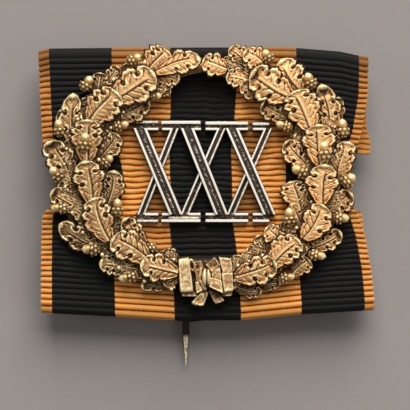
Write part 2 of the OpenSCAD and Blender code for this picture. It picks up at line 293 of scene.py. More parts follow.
def new_finish(name):
    """A new material, its tree and its shader."""
    material = bpy.data.materials.new(name)
    material.use_nodes = True
    tree = material.node_tree
    return material, tree, tree.nodes["Principled BSDF"]


def colours(share, first, second):
    """Mixes two colours, either of them plain or from a node."""
    return Wire.node(share.socket.id_data, "ShaderNodeMix", {"data_type": "RGBA"},
                     {"Factor_Float": share, "A_Color": first, "B_Color": second}, "Result_Color")


def srgb(*levels):
    """A colour given as on a screen, from 0 to 255, as the shader takes it."""
    shares = [level / 255 for level in levels]
    return tuple(s / 12.92 if s <= 0.04 else ((s + 0.055) / 1.055) ** 2.4 for s in shares) + (1,)


def noise(place, scale, detail):
    """Soft noise around 0.5: its scale is one number, or a vector for noise drawn out in a direction."""
    tree = place.socket.id_data
    if isinstance(scale, tuple):
        place = Wire.node(tree, "ShaderNodeVectorMath", {"operation": "MULTIPLY"},
                          {"Vector": place, "Vector_001": scale})
        scale = 1
    return Wire.node(tree, "ShaderNodeTexNoise", {}, {"Vector": place, "Scale": scale, "Detail": detail})


def bumped(height, strength, distance):
    """Fine relief of the surface, for the shader's Normal."""
    return Wire.node(height.socket.id_data, "ShaderNodeBump", {},
                     {"Strength": strength, "Distance": distance, "Height": height})


def feed(tree, shader, **values):
    """Links outputs to the shader's sockets, or sets plain values there."""
    for name, value in values.items():
        socket = shader.inputs[name.replace("_", " ")]
        if isinstance(value, Wire):
            tree.links.new(value.socket, socket)
        else:
            socket.default_value = value


def coat(piece, material):
    """Gives a piece one material in place of any other."""
    piece.data.materials.clear()
    piece.data.materials.append(material)


silk, tree, shader = new_finish("ribbed_silk")
uv = Wire.node(tree, "ShaderNodeUVMap", {"uv_map": "UVMap"}, {})
u, v = uv.part("X"), uv.part("Y")
rib = (v * (pi * ribs)).maths("SINE").maths("ABSOLUTE")
threads = noise(uv, (380, ribs * 0.7, 1), 2)
cloud = noise(uv, (14, ribs * 0.9, 1), 3)
# The stripes have slightly frayed edges, given as shares of the width
fray, blend_half = 0.004, 0.0012
frayed_u = u + (cloud - 0.5) * fray
black = 0
for first, last in STRIPES:
    after_first = frayed_u.ramp(first - blend_half, first + blend_half)
    after_last = frayed_u.ramp(last - blend_half, last + blend_half)
    black = after_first * (1 - after_last) + black
# The crowns of the ribs are painted with highlights, and the furrows between them with shade
lit = (rib ** 0.8) * (0.75 + 0.5 * cloud) + (threads - 0.5) * 0.35
orange = colours(lit.ramp(0.12, 0.62), srgb(90, 42, 10), srgb(255, 156, 64))
orange = colours(lit.ramp(0.66, 1.12), orange, srgb(255, 200, 118))
# The silk that shows inside the first and the last numeral, in two wedges that meet in the middle
# of each, is painted dark as the shade of the numerals' strokes
place = Wire.node(tree, "ShaderNodeTexCoord", {}, {}, "Object")
numeral_mid_y = 3.98 * mm
numeral_mids = (-5.25 * mm, 4.81 * mm)
wedge_slope = 0.43
off_y = (place.part("Y") - numeral_mid_y).maths("ABSOLUTE")
inside = 0
for mid_x in numeral_mids:
    off_x = (place.part("X") - mid_x).maths("ABSOLUTE")
    inside = (off_y * wedge_slope - off_x).ramp(-0.2 * mm, 0.35 * mm) + inside
in_front = place.part("Z").ramp(front_z - 0.2 * mm, front_z + 0.2 * mm)
# Painted shade of the numerals, on the front layer only
numeral_shade = inside * (1 - off_y.ramp(5.2 * mm, 6.4 * mm)) * in_front
# It is duller the nearer it lies to the upper fold, and along its two edges
upward = place.part("Y").ramp(-11 * mm, 17 * mm, "LINEAR")
at_top = place.part("Y").ramp(12.5 * mm, 17 * mm)
at_edge = (u - 0.5).maths("ABSOLUTE").ramp(0.455, 0.475)
painted_shade_and_mottle = upward * 0.34 + at_top * 0.36 + at_edge * 0.22 + (cloud - 0.5) * 0.3
# Spots: x, y, where each is full and where it ends, in mm, and how much duller it is than the rest.
# The first is a painted shadow of the wreath, with some dirt, below the first numeral; the second,
# lighter than the rest, is painted light in the wreath's shadow above the last numeral
SPOTS = [(-5, -3.3, 0.8, 3.4, 0.22), (4.9, 10.7, 1.2, 3, -0.28)]
for x, y, full_to, ends_at, duller in SPOTS:
    away = Wire.node(tree, "ShaderNodeVectorMath", {"operation": "DISTANCE"},
                     {"Vector": place, "Vector_001": (x * mm, y * mm, front_z)}, "Value")
    painted_shade_and_mottle = painted_shade_and_mottle + (1 - away.ramp(full_to * mm, ends_at * mm)) * duller
painted_shade_and_mottle = painted_shade_and_mottle.maths("MAXIMUM", numeral_shade * 0.65)
# The painted shade and the mottle darken the orange
orange = colours(painted_shade_and_mottle.maths("MINIMUM", 0.8), orange, srgb(70, 34, 12))
# On the black stripes the furrows are painted lighter than the crowns, as painted light against their
# shade
dark = colours(lit.ramp(0.2, 1.0), srgb(38, 36, 33), srgb(25, 25, 23))
feed(tree, shader, Base_Color=colours(black, orange, dark), Roughness=0.75, Specular_IOR_Level=0.12,
     Normal=bumped(threads, 0.35, 0.06 * mm))
coat(ribbon, silk)
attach(ribbon, "root")
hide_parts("ribbon")

# Pin fitting
# A brass strip behind the ribbon with two posts through it, a hinge barrel with its pin and a
# C-shaped catch. The pin comes out under the ribbon and tapers to a point.
wire_brass, tree, shader = new_finish("drawn_brass")
place = Wire.node(tree, "ShaderNodeTexCoord", {}, {}, "Object")
drawn = noise(place, (6000, 500, 6000), 3)
spots = noise(place, 5200, 2)
# The point is worn bright below this height, with painted shade on its sides and dark pits. Above it,
# as far as the ribbon, the pin is painted dark as the ribbon's shadow, and behind the ribbon the whole
# fitting is slightly dull
bright_from = -14.2 * mm
facing = Wire.node(tree, "ShaderNodeNewGeometry", {}, {}, "Normal")
sides = facing.part("X").maths("ABSOLUTE").ramp(0.56, 0.8)
above = place.part("Y").ramp(bright_from - 0.4 * mm, bright_from + 0.2 * mm)
behind = place.part("Y").ramp(bright_from + 1.5 * mm, bright_from + 2.3 * mm)
tarnish_and_shade = sides.maths("MAXIMUM", above) * (1 - behind) + behind * 0.22
tarnish_and_shade = tarnish_and_shade.maths("MAXIMUM", spots.ramp(0.48, 0.6) * 0.75 * (1 - behind))
feed(tree, shader, Base_Color=colours(tarnish_and_shade, srgb(255, 236, 196), srgb(58, 39, 22)),
     Roughness=0.3 + 0.2 * tarnish_and_shade + 0.1 * drawn, Metallic=0.08 + 0.3 * tarnish_and_shade,
     Normal=bumped(drawn, 0.3, 0.04 * mm))
pin_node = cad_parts["back_pin"]
coat(pin_node, wire_brass)

# Wreath
# Cast and chased gilt brass in one piece: two branches of oak leaves and acorns on a flat ring,
# soldered to the posts. The raised edges are burnished bright and the recesses have gone dark, and
# shade is painted into the crevices and hollows and over the left side.
wreath_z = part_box("oak_wreath")[0].z

# Leaves: base x, base y, tip x, tip y, width, height in mm
LEAVES = [
    (178, 272, 141, 263, 24, 2.3), (177, 284, 142, 286, 13, 1.2), (177, 262, 163, 251, 13, 1.3),
    (148, 259, 112, 238, 26, 2.4), (137, 269, 99, 262, 18, 1.6), (146, 248, 125, 218, 18, 1.8),
    (106, 248, 61, 225, 20, 1.5), (110, 241, 95, 198, 24, 2.4), (87, 211, 51, 191, 19, 1.6),
    (93, 202, 86, 160, 26, 2.5), (108, 206, 115, 171, 18, 1.7), (72, 183, 49, 143, 24, 1.7),
    (98, 161, 119, 135, 18, 1.7), (88, 161, 89, 119, 26, 2.5), (71, 151, 62, 108, 14, 1.4),
    (77, 151, 74, 95, 20, 1.8), (90, 124, 118, 94, 28, 2.5), (97, 99, 101, 73, 16, 1.3),
    (103, 89, 119, 66, 14, 1.4), (112, 80, 141, 63, 16, 1.3), (115, 119, 149, 101, 20, 1.6),
    (113, 101, 154, 75, 30, 2.5),
    (147, 74, 169, 52, 25, 1.9), (153, 77, 181, 80, 17, 1.8), (157, 73, 201, 60, 20, 2.3),
    (157, 91, 171, 92, 10, 1.3),
    (234.5, 277, 275, 263, 24, 2.3), (235, 286, 262, 292, 12, 1.2), (240, 271, 238, 254, 12, 1.3),
    (265, 256, 246, 249, 12, 1.3), (256, 285, 280, 283, 12, 1.2), (270, 265, 298, 240, 24, 2.4),
    (293, 273, 310, 260, 17, 1.7), (282, 241, 265, 227, 17, 1.8), (268, 257, 257, 235, 14, 1.3),
    (311, 247, 340, 233, 17, 1.6), (303, 239, 322, 205, 24, 2.4), (299, 210, 289, 181, 22, 1.8),
    (325, 213, 352, 193, 20, 1.6), (320, 204, 324, 165, 27, 2.5), (337, 184, 348, 143, 20, 1.7),
    (309, 168, 285, 142, 18, 1.8), (320, 165, 317, 124, 27, 2.5), (306, 144, 298, 127, 10, 1.3),
    (330, 139, 321, 86, 20, 1.7), (336, 125, 338, 98, 10, 1.3), (310, 130, 293, 92, 28, 2.5),
    (289, 120, 260, 104, 18, 1.7), (305, 96, 280, 60, 27, 1.9), (319, 114, 306, 88, 12, 1.4),
    (291, 99, 252, 74, 30, 2.5), (266, 99, 240, 85, 17, 1.7), (251, 83, 225, 77, 17, 1.7),
    (267, 68, 243, 53, 19, 1.8), (247, 64, 230, 49, 16, 1.5), (227, 71, 203, 62, 20, 2.2),
    (247, 70, 222, 60, 12, 1.3),
]
# Acorns: middle x, middle y, angle that the nut points to, length, width, height in mm
ACORNS = [
    (91, 249, 180, 18, 13, 2.6), (128, 277, 190, 20, 11, 2.2), (150, 249, 215, 15, 11, 2.4),
    (60, 208, 180, 18, 11, 2.2), (118, 207, 88, 18, 12, 2.6), (57, 174, 130, 18, 13, 2.4),
    (60, 128, 95, 18, 12, 2.2), (108, 161, 45, 15, 11, 2.5), (86, 142, 85, 20, 13, 3.3),
    (88, 84, 60, 17, 12, 2.5), (122, 126, 15, 16, 11, 2.4), (101, 127, 45, 10, 8, 2.3),
    (135, 60, 30, 16, 11, 2.3), (156, 96, 350, 13, 9, 2.2),
    (287, 277, 10, 16, 10, 2.2), (317, 255, 350, 18, 11, 2.3), (341, 218, 0, 16, 12, 2.3),
    (289, 216, 95, 18, 13, 2.7), (348, 180, 40, 16, 14, 2.5), (299, 171, 155, 18, 13, 2.6),
    (323, 151, 95, 21, 13, 3.3), (342, 128, 95, 19, 12, 2.3), (283, 126, 165, 17, 10, 2.4),
    (309, 81, 115, 17, 12, 2.5), (267, 57, 120, 15, 11, 2.4),
]
# Middle line of the wreath's band, half the band's width, and the ring's thickness
ring_mid, ring_half, band_half = (203, 172), (120, 104), 30
ring_t = 0.5 * mm
leaf_long, leaf_wide, leaf_thick = 4.4 * mm, 2.7 * mm, 1 * mm
# The widths in the table are those of the blades between their curled lobes
wider = 1.24


def close_below(piece, steps):
    """Gives a relief its sides and a flat back: each step resizes its outline about a middle."""
    edit_all(piece)
    bpy.ops.mesh.region_to_loop()
    for shrink_x, shrink_y, share, middle in steps:
        bpy.ops.mesh.extrude_region_move()
        bpy.ops.transform.resize(value=(shrink_x, shrink_y, share), center_override=middle)
    bpy.ops.mesh.edge_face_add()
    face_outwards(piece)


def store(piece, name, values):
    """Stores a value from 0 to 1 on each point."""
    layer = piece.data.attributes.new(name, "FLOAT", "POINT")
    layer.data.foreach_set("value", np.clip(values, 0, 1).astype(np.float32))


def mark(piece, **layers):
    """Stores the same values on all points of a piece."""
    for layer, value in layers.items():
        store(piece, layer, np.full(len(piece.data.vertices), value))


def oak_leaf(name, cells, sinuses, depth, veins, curl, rib_light, eyes):
    """A leaf of its usual size, base at the origin and tip along +X, lobed between its sinuses.

    Across the leaf, side goes from 0 at the midrib to 1 at the edge, and t goes from base to tip.
    """
    leaf = grid_of(name, cells, 2)
    grid = points_of(leaf)
    t, across = (grid[:, 0] + 1) / 2, grid[:, 1]
    side = np.abs(across)
    # Outline: widest past the middle, each lobe a full arc, and a round lobe at the end
    limits = np.array((-0.1, *sinuses, 1.0))
    lobe = np.clip(np.searchsorted(limits, t, side="right") - 1, 0, len(sinuses))
    within = 2 * (t - limits[lobe]) / (limits[lobe + 1] - limits[lobe]) - 1
    arc = np.clip(1 - (1.03 * within) ** 2, 0, 1) ** 0.45
    last = lobe == len(sinuses)
    half = 0.3 + 0.7 * np.sin(pi / 2 * np.clip(t / 0.5, 0, 1)) ** 1.1 - 0.2 * smoothstep(t, 0.6, 1)
    half *= 1 - depth + depth * arc
    end = np.clip((t - limits[-2]) / (1 - limits[-2]), 0, 1)
    knob = 0.58 * np.sqrt(np.clip(1 - end ** 2.4, 0.01, 1)) * (1 + 0.42 * np.sin(pi * end ** 0.8))
    half = np.where(last, knob, half) * (1 + 0.035 * np.sin(2 * pi * 9.5 * t + 1.2 * across))
    sweep = 0.05 * side ** 1.5 * smoothstep(t, 0, 0.3) * (1 - smoothstep(t, 0.5, 0.82))
    x = leaf_long * (t + sweep)
    y = leaf_wide / 2 * half * across
    # Rims: raised and scalloped along the lobes and round the tip, with a cut line inside them
    rim_at, rim_w, line_at, tip_rim_at, tip_line_at = 0.88, 0.12, 0.68, 0.955, 0.9
    scallop = np.sin(2 * pi * (8.3 * t + 0.4 * across))
    tip_scallop = np.sin(2 * pi * 2.6 * across + 1)
    rim = bump(side, rim_at, rim_w + 0.025 * scallop) * (0.35 + 0.65 * np.where(last, 1, arc) ** 0.8)
    rim = np.maximum(rim, bump(t, tip_rim_at, 0.036 + 0.008 * tip_scallop) * last)
    rim *= 0.8 + 0.2 * np.sin(2 * pi * (4.7 * t + 0.9 * across))
    worn_rim = rim * (0.35 + 0.75 * smoothstep(t, 0.35, 0.8))
    tip_line = bump(t, tip_line_at - 0.008 * tip_scallop, 0.016) * last * (1 - side ** 4)
    inside_rim = np.maximum(bump(side, line_at - 0.03 * scallop, 0.06) * (arc ** 2) * ~last, tip_line)
    # A fine midrib with a cut line beside it, and cut veins with a ridge beside each
    from_mid = np.abs(y)
    rib_half = 0.065 * mm
    midrib = bump(from_mid, 0, rib_half) * (1 - smoothstep(t, 0.74, 0.88))
    beside = bump(y, 0.15 * mm, rib_half) * (1 - smoothstep(t, 0.74, 0.86))
    wobble = 0.05 * np.sin(5200 * x + 2) * np.sin(6100 * y)
    phase = 2 * pi * ((x - 0.95 * from_mid) * veins / leaf_long + wobble)
    veined = smoothstep(from_mid, 0.14 * mm, 0.26 * mm) * (1 - smoothstep(side, 0.7, 0.86))
    vein, ridge = [(0.5 + 0.5 * np.cos(phase + turn)) ** 9 * veined for turn in (0, 1.5)]
    # Pierced eyes by the sinuses, each painted dark as the shade in a hole, with a curl round it and a
    # bead in it
    eye, bead, curled = 0, 0, 0
    for place, hand in eyes:
        k = np.argmin(np.hypot(t - place, across - 0.74 * hand))
        away = np.hypot(x - x[k], y - y[k]) / mm
        eye = eye + bump(away, 0, 0.17)
        curled = curled + bump(away, 0.3, 0.07)
        bead = bead + bump(np.hypot(x - x[k] - 0.05 * mm, y - y[k]) / mm, 0, 0.07)
    # The hollow inside a curled tip is painted dark as its shade
    tip_curl, hollow = bump(t, 0.96, 0.05), bump(t, 0.86, 0.06) * (1 - side ** 2)
    fleck = np.sin(9100 * x + 3 * np.sin(7300 * y)) * np.sin(8700 * y + 2 * np.sin(6100 * x))
    crown, groove = 1 - side ** 2.2, bump(side, line_at, 0.12) * arc
    between_lobes = (1 - arc) * smoothstep(side, 0.6, 0.9) * ~last
    # What each form of the relief adds: the form, its height in mm, and its wear. In all, the wear
    # goes from 0 in a recess to 1 on a bright edge. The hollow inside a curled tip and the leaf's
    # outermost edge get low wear as painted shade
    relief_forms = [
        (crown, 0.14, 0), (rim, 0.17, 0), (worn_rim, 0, 0.5), (groove, -0.12, 0), (arc * side, 0.1, 0),
        (midrib, 0.06, rib_light), (beside, -0.11, -0.5), (vein, -0.07, -0.42), (ridge, 0.04, 0.18),
        (curled, 0.09, 0.3), (eye, -0.46, -0.9), (bead, 0.3, 1), (inside_rim, -0.05, -0.3),
        (curl * tip_curl, 0.2, 0.2), (curl * hollow, -0.3, -0.4), (fleck, 0.016, 0),
        (fleck * (1 - rim), 0, 0.09), (between_lobes, 0, -0.4), (smoothstep(side, 0.955, 1), 0, -0.7),
    ]
    z = sum(form * height for form, height, _ in relief_forms)
    set_points(leaf, np.stack([x, y, leaf_thick + z * mm], axis=1))
    edge = 0.5 + sum(form * wear for form, _, wear in relief_forms)
    # Below the rim the leaf slopes out a little, is cut in under its edge and goes down to the back:
    # resizing along and across, share of the height, and wear. The low wear of the first step is painted
    # shade along the outline
    middle = (leaf_long * 0.5, 0, 0)
    steps = [(1.03, 1.13, 0.75, 0.05), (0.99, 0.97, 0.9, 0.5), (0.96, 0.88, 0.66, 0.5),
             (0.86, 0.66, 0.4, 0.4), (0.97, 0.95, 0, 0.3)]
    close_below(leaf, [(*step[:3], middle) for step in steps])
    count = (len(leaf.data.vertices) - len(edge)) // len(steps)
    store(leaf, "edge", np.concatenate([edge, np.repeat([step[3] for step in steps], count)]))
    bpy.ops.object.shade_smooth_by_angle(angle=radians(75))
    return leaf


# Patterns: cells along and across, places of the sinuses and their depth, veins, curl of the tip, how
# bright the midrib is, and the eyes, each by its sinus and its side
big_cells, small_cells, low_cells = (66, 40), (40, 26), (28, 16)
large_patterns = [
    oak_leaf("broad_leaf", big_cells, (0.36, 0.7), 0.34, 7, 0.3, 0.2,
             [(0.7, 1), (0.7, -1), (0.36, -1)]),
    oak_leaf("veined_leaf", big_cells, (0.28, 0.53, 0.76), 0.32, 9, 0.1, 0.3,
             [(0.76, -1), (0.53, 1), (0.76, 1)]),
    oak_leaf("curled_leaf", big_cells, (0.42, 0.7), 0.4, 6, 1.0, 0.2,
             [(0.7, 1), (0.7, -1), (0.42, 1), (0.42, -1)]),
]
small_pattern = oak_leaf("small_leaf", small_cells, (0.36, 0.68), 0.42, 6, 0.6, 0.6,
                         [(0.68, 1), (0.68, -1)])
low_pattern = oak_leaf("low_leaf", low_cells, (0.32, 0.64), 0.45, 6, 0.4, 0.7,
                       [(0.64, 1), (0.64, -1)])


def copy_of(pattern, name):
    """A copy of a pattern with a mesh of its own."""
    made = pattern.copy()
    made.data = pattern.data.copy()
    bpy.context.scene.collection.objects.link(made)
    made.name = name
    return made


def turned(x, y, x0, y0, turn_cos, turn_sin):
    """Places turned about the origin and then moved to x0, y0."""
    return x0 + x * turn_cos - y * turn_sin, y0 + x * turn_sin + y * turn_cos


def leaf_in_place(k, row, pattern):
    """A copy of a pattern, bent and set on the ring for one row of the table."""
    base_x, base_y, tip_x, tip_y, width, height = row
    leaf = copy_of(pattern, "leaf_%02d" % k)
    co = points_of(leaf)
    (x0, y0), (x1, y1) = at(base_x, base_y), at(tip_x, tip_y)
    long = hypot(x1 - x0, y1 - y0)
    # Every other leaf is mirrored, and each is stretched and bent sideways a little in its own way
    hand = -1 if k % 2 else 1
    t = co[:, 0] / leaf_long
    y = co[:, 1] * hand * width * wider * unit / leaf_wide
    x = (t + 0.03 * np.sin(2 * pi * t + 1.3 * k)) * long
    y += hand * 0.07 * long * np.sin(pi * t) * sin(2.4 * k)
    # It rises from base to tip and leans to one side, but its back stays flat
    up = np.clip(co[:, 2] / (0.7 * leaf_thick), 0, 1)
    lean = 0.12 * mm * sin(1.7 * k + 1) * y / (width * unit / 2)
    z = co[:, 2] + up * (height * mm - leaf_thick + 0.35 * mm * (t - 0.75) + lean)
    px, py = turned(x, y, x0, y0, (x1 - x0) / long, (y1 - y0) / long)
    # The wreath is domed: it falls away to both sides of the middle of its band
    cx, cy = px / unit + chart_mid[0] - ring_mid[0], chart_mid[1] - py / unit - ring_mid[1]
    off = (np.hypot(cx / ring_half[0], cy / ring_half[1]) - 1) * sum(ring_half) / 2 / band_half
    z -= up * 0.40 * mm * np.clip(off ** 2, 0, 2)
    set_points(leaf, np.stack([px, py, wreath_z + np.maximum(z, 0)], axis=1))
    if hand < 0:
        edit_all(leaf)
        bpy.ops.mesh.flip_normals()
        bpy.ops.object.mode_set(mode="OBJECT")
    return leaf


def joined(pieces, name):
    """Makes one piece of several."""
    only(pieces[0])
    for piece in pieces:
        piece.select_set(True)
    bpy.ops.object.join()
    pieces[0].name = name
    return pieces[0]


# Low leaves: how many on each side of each branch, angles from the bow at which they start and end,
# their starts off the middle of the band, lean, length and width in chart units and height in mm
low_count = 25
low_from, low_to = 12, 160
low_start, low_lean, low_long, low_wide, low_h = 0.02, radians(44), 25, 15, 1.45


def on_band(turn, branch, off):
    """A place on the chart at an angle from the bow, on the left branch, -1, or the right one, 1."""
    return (ring_mid[0] + branch * ring_half[0] * off * sin(turn),
            ring_mid[1] + ring_half[1] * off * cos(turn))


def low_leaf(k):
    """A row for a low leaf. They fill both branches from the bow up, outward and inward by turns."""
    branch, hand = (-1, 1)[k % 2], (-1, 1)[k // 2 % 2]
    turn = radians(low_from + (low_to - low_from) * (k // 4 + 0.5 * (hand > 0)) / low_count)
    x, y = on_band(turn, branch, 1 - hand * low_start)
    lean = turn + hand * low_lean * (1 + 0.25 * sin(2.9 * k))
    long = low_long * (0.55 + 0.45 * abs(sin(turn))) * (1 + 0.12 * sin(4.3 * k))
    tip_x, tip_y = x + branch * long * cos(lean), y - long * sin(lean)
    return (x, y, tip_x, tip_y, low_wide, low_h + 0.1 * sin(3.7 * k))


fillers = [leaf_in_place(3 * k, low_leaf(k), low_pattern) for k in range(4 * low_count)]
low_leaves = joined(fillers, "low_leaves")
# A leaf is a small one up to this height in mm, or up to this width or length on the chart
small_h, small_w, small_long = 1.4, 14, 30
left, right = [], []
for k, row in enumerate(LEAVES):
    base_x, base_y, tip_x, tip_y, width, height = row
    is_short = hypot(tip_x - base_x, tip_y - base_y) < small_long
    is_small = height <= small_h or width <= small_w or is_short
    leaf = leaf_in_place(k, row, small_pattern if is_small else large_patterns[k % 3])
    (left if base_x < ring_mid[0] else right).append(leaf)
left_branch = joined(left, "left_branch")
right_branch = joined(right, "right_branch")
for pattern in (*large_patterns, small_pattern, low_pattern):
    bpy.data.objects.remove(pattern)


def ball_of(name, segments, rings):
    """A round ball to shape: the piece, and its points along X, Y and Z."""
    bpy.ops.object.select_all(action="DESELECT")
    bpy.ops.mesh.primitive_uv_sphere_add(segments=segments, ring_count=rings, radius=1)
    bpy.ops.object.shade_smooth()
    ball = bpy.context.object
    ball.name = name
    return (ball, *points_of(ball).T)


# Patterns of a cup and of its nut. Each is worked out of a ball whose poles lie along the acorn, with
# X in shares of the acorn's length and Y and Z in shares of its width
knobs_round, knob_rows, knob_h, lip_at = 7, 1.45, 0.16, 0.42
cup_mid, cup_long, nut_mid, nut_long, nut_half = -0.16, 0.34, 0.14, 0.3, 0.38
cup, sideways, upward, along = ball_of("acorn_cup", 44, 26)
around, rows = np.arctan2(upward, sideways), np.arccos(np.clip(along, -1, 1)) * knob_rows
knob = np.cos(2 * pi * rows) * 0.5 + 0.5
knob *= 0.5 + 0.5 * np.cos(knobs_round * around + pi * np.floor(rows + 0.5))
knob *= smoothstep(-along, -0.55, -0.2)
swell = 1 + knob_h * knob
narrowed = 0.5 * swell * (1 - 0.12 * smoothstep(along * swell, 0.3, lip_at))
set_points(cup, np.stack([cup_mid + cup_long * np.minimum(along * swell, lip_at),
                          sideways * narrowed, upward * narrowed], axis=1))
store(cup, "edge", 0.16 + 0.8 * knob ** 1.2)
nut, sideways, upward, along = ball_of("acorn_nut", 24, 16)
point = 0.03 * smoothstep(along, 0.93, 1.0)
set_points(nut, np.stack([nut_mid + nut_long * along + point, nut_half * sideways, nut_half * upward],
                         axis=1))
# The nut's upper side is painted brighter towards its tip, as a highlight
store(nut, "edge", 0.55 + 0.2 * along * upward + 0.12 * along)

acorn_parts = []
for mid_x, mid_y, angle, long, width, height in ACORNS:
    long, width, height = long * unit, width * unit, height * mm
    turn = radians(angle)
    for pattern, middle in ((cup, height - 0.5 * width), (nut, 0.86 * height - 0.36 * width)):
        part = copy_of(pattern, "acorn_part")
        x, y, up = (points_of(part) * (long, width, width)).T
        # Its lower half goes down to the ring and is drawn in there
        low = np.clip(-up / (0.5 * width), 0, None)
        z = np.where(up < 0, middle * (1 - low), middle + up)
        y = y * (1 - 0.25 * np.minimum(low, 1) ** 2)
        px, py = turned(x, y, *at(mid_x, mid_y), cos(turn), sin(turn))
        set_points(part, np.stack([px, py, wreath_z + np.maximum(z, 0)], axis=1))
        acorn_parts.append(part)
acorns = joined(acorn_parts, "acorns")

# Buds: small round beads in the gaps between the leaves, over both branches by turns
bud_count, bud_half, bud_top = 64, 1.9, 1.75 * mm
bud, sideways, along, upward = ball_of("bud", 14, 10)
# Each bud is painted bright on top as a highlight, and darker on its lower half as shade
store(bud, "edge", 0.3 + 0.6 * np.clip(upward, 0, 1))
beads = []
for k in range(bud_count):
    turn = radians(16 + 140 * (k // 4) / (bud_count // 4 - 1) + 3 * sin(5 * k))
    off = (-0.13, -0.06, 0.07, 0.15)[k * 3 % 4]
    bud_x, bud_y = at(*on_band(turn, (-1, 1)[k // 2 % 2], 1 + off))
    bead = copy_of(bud, "bud_%02d" % k)
    half = bud_half * (1 + 0.2 * sin(3 * k)) * unit
    set_points(bead, points_of(bud) * half + (bud_x, bud_y, wreath_z + bud_top))
    beads.append(bead)
buds = joined(beads, "leaf_buds")
for pattern in (cup, nut, bud):
    bpy.data.objects.remove(pattern)

# Ring: a flat band below the leaves, narrow at the top and at the bottom and wide at both sides
ring_narrow, ring_wider, ring_cells, ring_wall = 3, 22, (144, 6), 0.3 * mm
ring = grid_of("backing_ring", ring_cells, 1)
grid = points_of(ring)
angle, out = 2 * pi * (grid[:, 0] + 0.5), 2 * grid[:, 1]
half_band = ring_narrow + ring_wider * np.abs(np.cos(angle))
ring_x, ring_y = at(*ring_mid)
set_points(ring, np.stack([ring_x + (ring_half[0] + out * half_band) * unit * np.cos(angle),
                           ring_y + (ring_half[1] + out * half_band) * unit * np.sin(angle),
                           wreath_z + ring_t * (1 - 0.25 * out ** 2)], axis=1))
edit_all(ring)
bpy.ops.mesh.remove_doubles(threshold=0.01 * mm)
bpy.ops.object.mode_set(mode="OBJECT")
thickened(ring, ring_wall)
face_outwards(ring)
bpy.ops.object.shade_smooth_by_angle(angle=radians(40))
mark(ring, edge=0.55)


def blurred(field, reach):
    """A height field averaged over a soft round spot."""
    n = int(3 * reach)
    window = np.exp(-(np.arange(-n, n + 1) / reach) ** 2 / 2)
    window /= window.sum()

    def averaged(row):
        return np.convolve(np.pad(row, n, mode="edge"), window, mode="valid")

    for axis in (0, 1):
        field = np.apply_along_axis(averaged, axis, field)
    return field


def note_relief_and_shade(pieces, floor_z, top):
    """Stores on each point how far it stands above what is close by, and how high it stands in all."""
    cell, cells = 0.09 * mm, 420
    near_reach, far_reach = 3.2, 13
    near_h, far_h, cover_h = 0.7 * mm, 2.4 * mm, 0.35 * mm

    def spot(co):
        across, down = np.clip((co[:, :2] / cell + cells / 2).astype(int), 0, cells - 1).T
        return across, down

    field = np.full((cells, cells), floor_z)
    for piece in pieces:
        co = points_of(piece)
        np.maximum.at(field, spot(co), co[:, 2])
    # Where a point lies lower than the blurred field close by, shade is painted on it later, as in a
    # crevice
    near, far = blurred(field, near_reach), blurred(field, far_reach)
    for piece in pieces:
        co = points_of(piece)
        here, z = spot(co), co[:, 2]
        # Sides and undersides, which have something above them, are no recesses and get no painted shade
        covered = field[here] - z > cover_h
        store(piece, "near", np.where(covered, 0.4, 0.5 + (z - near[here]) / near_h))
        store(piece, "stand", 0.25 + 0.5 * (z - far[here]) / far_h + 0.5 * (z - floor_z) / top)


wreath_pieces = [left_branch, right_branch, low_leaves, acorns, buds, ring]
note_relief_and_shade(wreath_pieces, wreath_z, 2.6 * mm)


def cast_metal(name, matte, bright, dull, recess, rough, metal, specked=0.3, darkened=0):
    """Cast metal: matte on its faces, burnished where it stands proud and dull lower down.

    Its recesses are dark, with patina and with painted shade where something close by stands higher. Where
    darkened is given, its left side is painted darker as shade, and it is darker towards its foot too.
    """
    material, tree, shader = new_finish(name)
    place = Wire.node(tree, "ShaderNodeTexCoord", {}, {}, "Object")
    edge, near, stand = [Wire.node(tree, "ShaderNodeAttribute", {"attribute_name": layer}, {}, "Fac")
                         for layer in ("edge", "near", "stand")]
    blotch, grain, speck = noise(place, 700, 4), noise(place, 9000, 3), noise(place, 3600, 2)
    raised = stand.ramp(0.42, 0.72)
    worn = edge + (blotch - 0.5) * 0.2 + (speck - 0.5) * specked
    polished = worn.ramp(0.56, 0.74) * (0.7 + 0.3 * raised)
    sunk = 1 - worn.ramp(0.12, 0.42)
    # Painted shade where something close by stands higher, as in a crevice
    below = 1 - (near + (blotch - 0.5) * 0.1).ramp(0.02, 0.34)
    patina_and_shade = (sunk + below * 0.7).maths("MINIMUM", 1.0)
    base = colours((raised + (blotch - 0.5) * 0.6).maths("ADD", 0.0, clamp=True), dull, matte)
    if darkened:
        # The left side, away from the light, is painted darker as shade, and the foot is darker too
        lit_side = (place.part("X") * 0.9 + place.part("Y") * 0.35).ramp(-16 * mm, 12 * mm)
        above_foot = place.part("Y").ramp(-11 * mm, -1 * mm)
        base = colours((1 - lit_side) * darkened + (1 - above_foot) * 0.2, base, recess)
    base = colours(polished, base, bright)
    base = colours(patina_and_shade, base, recess)
    feed(tree, shader, Base_Color=base, Metallic=metal - 0.3 * polished - 0.3 * patina_and_shade,
         Roughness=rough + 0.08 * blotch - 0.1 * polished + 0.2 * patina_and_shade,
         Normal=bumped(grain, 0.25, 0.03 * mm))
    return material


gilt = cast_metal("fire_gilding", matte=srgb(255, 196, 128), bright=srgb(255, 236, 178),
                  dull=srgb(166, 122, 74), recess=srgb(62, 40, 17), rough=0.5, metal=0.5,
                  specked=0.4, darkened=0.45)
rubbed_gilt = cast_metal("rubbed_gilding", matte=srgb(238, 188, 116), bright=srgb(255, 240, 184),
                         dull=srgb(170, 126, 70), recess=srgb(60, 38, 14), rough=0.36, metal=0.5,
                         darkened=0.3)
for piece in wreath_pieces:
    coat(piece, rubbed_gilt if piece in (acorns, buds) else gilt)
    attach(piece, "root")
    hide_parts("oak_wreath")

